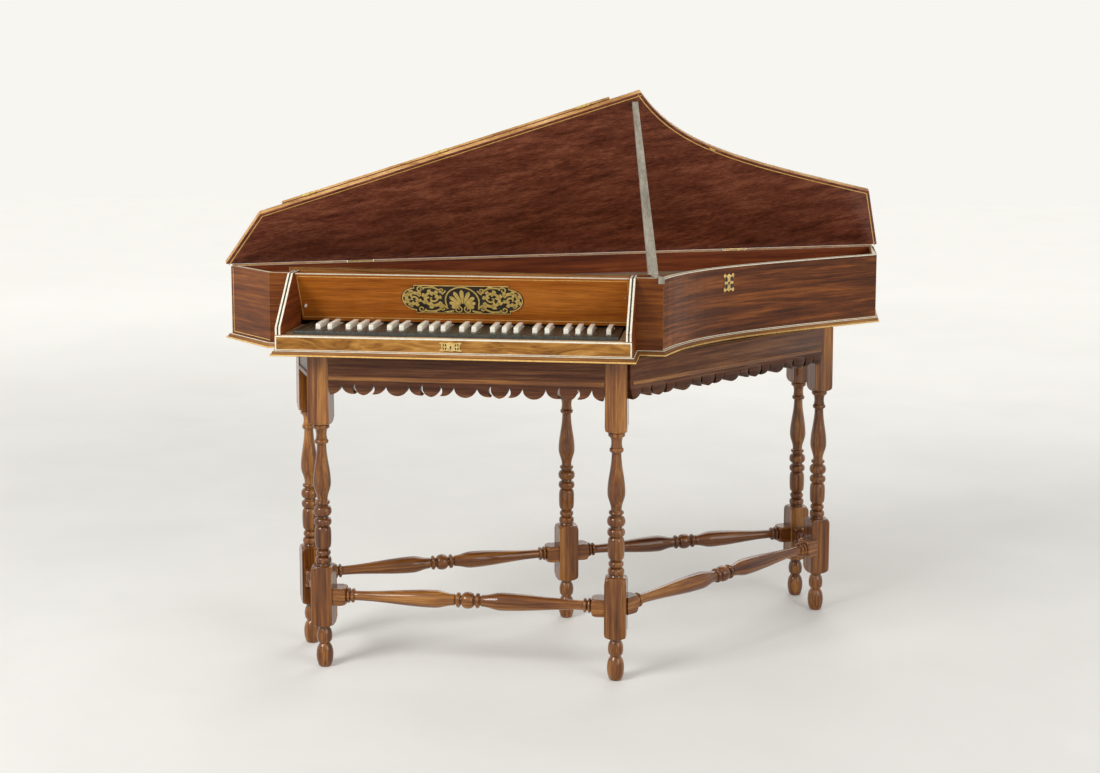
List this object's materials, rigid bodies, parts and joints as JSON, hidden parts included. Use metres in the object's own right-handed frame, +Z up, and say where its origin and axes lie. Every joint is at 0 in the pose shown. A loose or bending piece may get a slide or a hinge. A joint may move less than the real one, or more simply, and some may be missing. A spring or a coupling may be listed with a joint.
{
  "type": "spinet",
  "caption": "Bentside spinet on a turned walnut stand: propped lid, folding keyboard flap, inlaid nameboard, dark naturals with pale sharps, scalloped aprons.",
  "frame": {"origin": "on the floor, under the middle of the bounding box", "axes": "+X along the keyboard from bass to treble, +Y from the player towards the spine, +Z up"},
  "size_m": [1.5248, 0.899, 1.2769],
  "materials": {
    "stand_walnut": "polished dark walnut",
    "case_walnut": "polished figured walnut with pale stringing",
    "moulding": "polished walnut",
    "lid_walnut": "polished dark walnut",
    "burl": "polished burl walnut",
    "nameboard_veneer": "polished walnut with inlaid borders",
    "plaque": "dark ground with gilt ornament",
    "bone": "polished bone",
    "plain_wood": "plain planed wood",
    "spruce": "thin oiled spruce",
    "bridge_wood": "dark walnut",
    "ebony": "polished ebony",
    "brass": "polished brass",
    "grey_wood": "greyed bare wood"
  },
  "bodies": {
    "case": {"leg_front_left": "stand_walnut", "leg_front_right": "stand_walnut", "leg_side_right": "stand_walnut", "leg_back_right": "stand_walnut", "leg_back_middle": "stand_walnut", "leg_back_left": "stand_walnut", "rail_front": "stand_walnut", "rail_right": "stand_walnut", "rail_tail": "stand_walnut", "rail_back_right": "stand_walnut", "rail_back_left": "stand_walnut", "rail_left": "stand_walnut", "stretcher_front": "stand_walnut", "stretcher_right": "stand_walnut", "stretcher_tail": "stand_walnut", "stretcher_back_right": "stand_walnut", "stretcher_back_left": "stand_walnut", "stretcher_left": "stand_walnut", "left_end": "case_walnut", "front_panel_left": "case_walnut", "front_panel_right": "case_walnut", "bentside": "case_walnut", "tail_wall": "case_walnut", "spine_wall": "case_walnut", "cheek_left": "case_walnut", "cheek_right": "case_walnut", "base_moulding": "moulding", "jack_rail": "moulding", "lock_board": "burl", "nameboard": "nameboard_veneer", "nameboard_plaque": "plaque", "nameboard_knob": "bone", "sharps_bass": "bone", "sharps_treble": "bone", "bottom_board": "plain_wood", "wrest_plank": "plain_wood", "jack_row": "plain_wood", "key_frame": "plain_wood", "soundboard": "spruce", "bridge": "bridge_wood", "naturals_bass": "ebony", "naturals_treble": "ebony", "escutcheon_front": "brass", "escutcheon_side": "brass", "spine_hinge_left": "brass", "spine_hinge_right": "brass"},
    "lid": {"lid": "lid_walnut"},
    "flap": {"flap": "lid_walnut", "flap_hinge_1": "brass", "flap_hinge_2": "brass", "flap_hinge_3": "brass"},
    "prop": {"prop_stick": "grey_wood"},
    "key_c": {"key_c": "ebony"},
    "key_c_sharp": {"key_c_sharp": "bone"},
    "key_d": {"key_d": "ebony"},
    "key_d_sharp": {"key_d_sharp": "bone"},
    "key_e": {"key_e": "ebony"},
    "key_f": {"key_f": "ebony"},
    "key_f_sharp": {"key_f_sharp": "bone"},
    "key_g": {"key_g": "ebony"}
  },
  "joints": [
    {"name": "lid_hinge", "type": "hinge", "parent": "case", "child": "lid", "pos_m": [-0.74769, -0.21616, 0.8752], "axis": [0.9164, 0.4003, 0], "range_deg": [0, 49.2]},
    {"name": "flap_hinge", "type": "hinge", "parent": "lid", "child": "flap", "pos_m": [-0.64693, -0.2827, 1.01293], "axis": [0.9445, 0.1271, 0.3031], "range_deg": [0, 226]},
    {"name": "prop_pivot", "type": "hinge", "parent": "case", "child": "prop", "pos_m": [0.25057, -0.34811, 0.868], "axis": [0.9164, 0.4003, 0], "range_deg": [0, 196.8]},
    {"name": "key_c_rock", "type": "hinge", "parent": "case", "child": "key_c", "pos_m": [-0.18946, -0.27596, 0.735], "axis": [1, 0, 0], "range_deg": [0, 3], "stiffness_Nm_per_rad": 1, "springref_deg": -5.73},
    {"name": "key_c_sharp_rock", "type": "hinge", "parent": "case", "child": "key_c_sharp", "pos_m": [-0.17995, -0.27683, 0.735], "axis": [1, 0, 0], "range_deg": [0, 3], "stiffness_Nm_per_rad": 1, "springref_deg": -5.73},
    {"name": "key_d_rock", "type": "hinge", "parent": "case", "child": "key_d", "pos_m": [-0.16661, -0.27806, 0.735], "axis": [1, 0, 0], "range_deg": [0, 3], "stiffness_Nm_per_rad": 1, "springref_deg": -5.73},
    {"name": "key_d_sharp_rock", "type": "hinge", "parent": "case", "child": "key_d_sharp", "pos_m": [-0.15326, -0.27928, 0.735], "axis": [1, 0, 0], "range_deg": [0, 3], "stiffness_Nm_per_rad": 1, "springref_deg": -5.73},
    {"name": "key_e_rock", "type": "hinge", "parent": "case", "child": "key_e", "pos_m": [-0.14375, -0.28015, 0.735], "axis": [1, 0, 0], "range_deg": [0, 3], "stiffness_Nm_per_rad": 1, "springref_deg": -5.73},
    {"name": "key_f_rock", "type": "hinge", "parent": "case", "child": "key_f", "pos_m": [-0.12089, -0.28225, 0.735], "axis": [1, 0, 0], "range_deg": [0, 3], "stiffness_Nm_per_rad": 1, "springref_deg": -5.73},
    {"name": "key_f_sharp_rock", "type": "hinge", "parent": "case", "child": "key_f_sharp", "pos_m": [-0.11234, -0.28303, 0.735], "axis": [1, 0, 0], "range_deg": [0, 3], "stiffness_Nm_per_rad": 1, "springref_deg": -5.73},
    {"name": "key_g_rock", "type": "hinge", "parent": "case", "child": "key_g", "pos_m": [-0.09804, -0.28435, 0.735], "axis": [1, 0, 0], "range_deg": [0, 3], "stiffness_Nm_per_rad": 1, "springref_deg": -5.73}
  ],
  "couplings": [
    {"joint": "prop_pivot", "follows": "lid_hinge", "ratio": 4}
  ]
}
